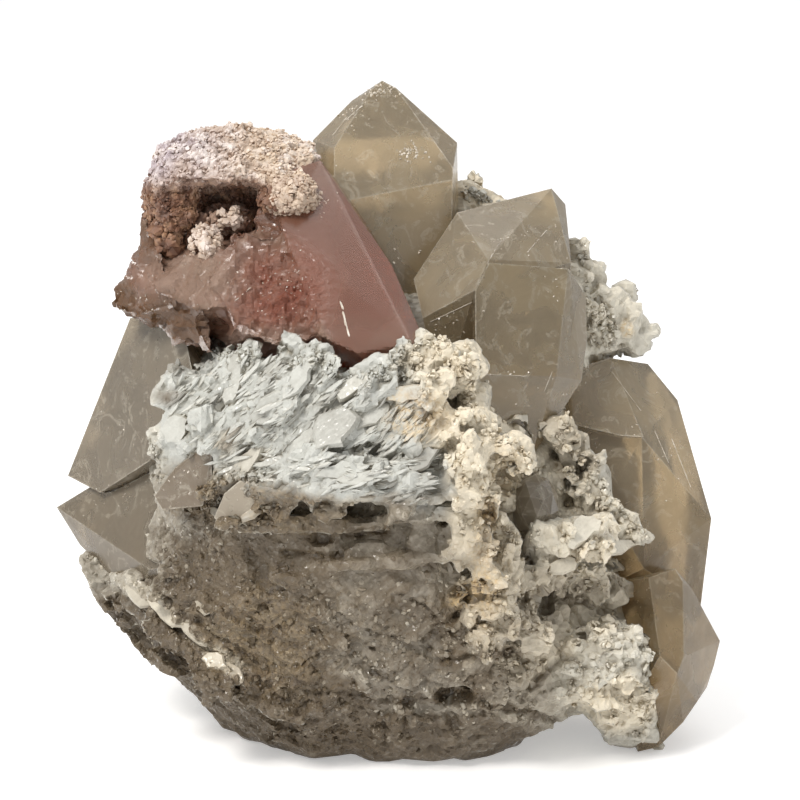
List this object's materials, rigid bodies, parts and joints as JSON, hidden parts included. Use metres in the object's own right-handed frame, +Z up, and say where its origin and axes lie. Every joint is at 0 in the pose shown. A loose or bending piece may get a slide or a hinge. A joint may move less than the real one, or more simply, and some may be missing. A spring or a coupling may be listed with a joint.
{
  "type": "mineral_specimen",
  "caption": "Morganite (pink beryl) crystal on bladed white albite, grown together with smoky quartz crystals and a granular lepidolite crust",
  "frame": {"origin": "centre of the bounding box footprint, on the plane it rests on", "axes": "+X is the specimen's width, to the right as seen from the crystal side; +Y points to the back, away from the viewer; +Z is up"},
  "size_m": [0.1014, 0.0708, 0.0984],
  "materials": {
    "albite": "rough, bladed, white to cream and grey",
    "lepidolite": "granular, sparkling purple-grey mica with brown stains",
    "morganite": "translucent pale pink, glassy faces",
    "smoky_quartz": "translucent smoky brown-grey, glassy faces"
  },
  "bodies": {
    "root": {"albite_matrix": "albite", "lepidolite_crust": "lepidolite", "morganite_crystal": "morganite", "quartz_centre_group": "smoky_quartz", "quartz_left_crystal": "smoky_quartz", "quartz_left_wedge": "smoky_quartz", "quartz_oval_grain": "smoky_quartz", "quartz_right_group": "smoky_quartz", "quartz_small_left": "smoky_quartz", "quartz_small_right": "smoky_quartz"}
  },
  "joints": []
}
